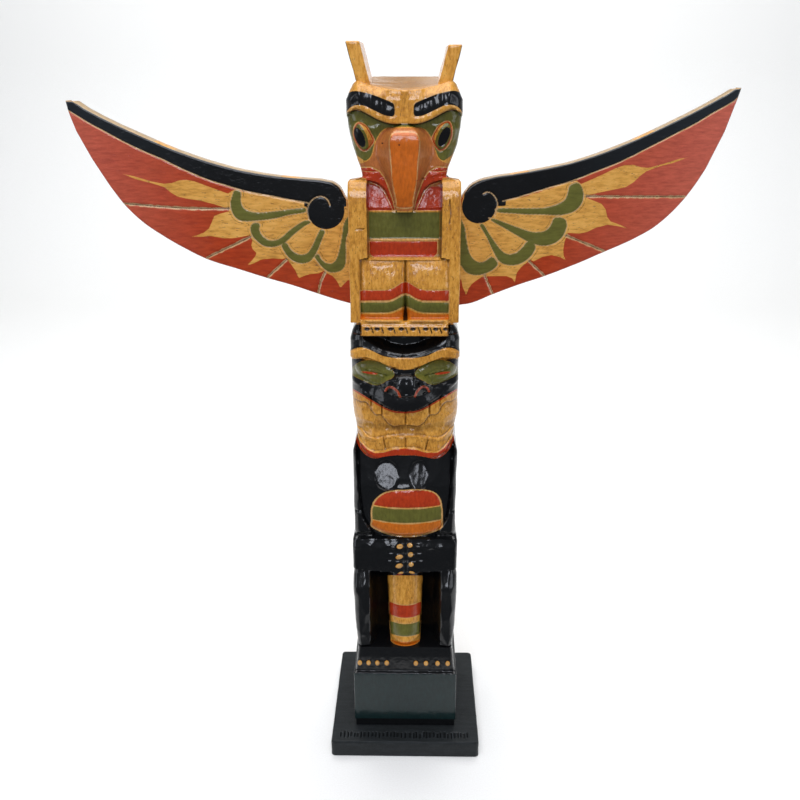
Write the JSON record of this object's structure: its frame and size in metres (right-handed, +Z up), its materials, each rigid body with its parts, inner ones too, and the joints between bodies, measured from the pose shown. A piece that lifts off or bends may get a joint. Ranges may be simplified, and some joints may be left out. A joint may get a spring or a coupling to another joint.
{
  "type": "carved totem pole",
  "caption": "Carved and painted wooden totem pole with a horned, winged thunderbird above a bear, on a square base plate.",
  "frame": {"origin": "on the surface it stands on, under the middle of the base plate", "axes": "+Z up the pole; the carved front faces -Y; the wings spread along X"},
  "size_m": [0.424, 0.1102, 0.499],
  "materials": {
    "carved_pole": "stained light wood, painted gloss black, red and green in places, under clear varnish",
    "painted_wing": "open-pored wood painted red, black and green over a tan stain, varnished",
    "charcoal_plate": "worn satin charcoal paint"
  },
  "bodies": {
    "root": {"pole": "carved_pole", "wing_left": "painted_wing", "wing_right": "painted_wing", "base_plate": "charcoal_plate"}
  },
  "joints": []
}
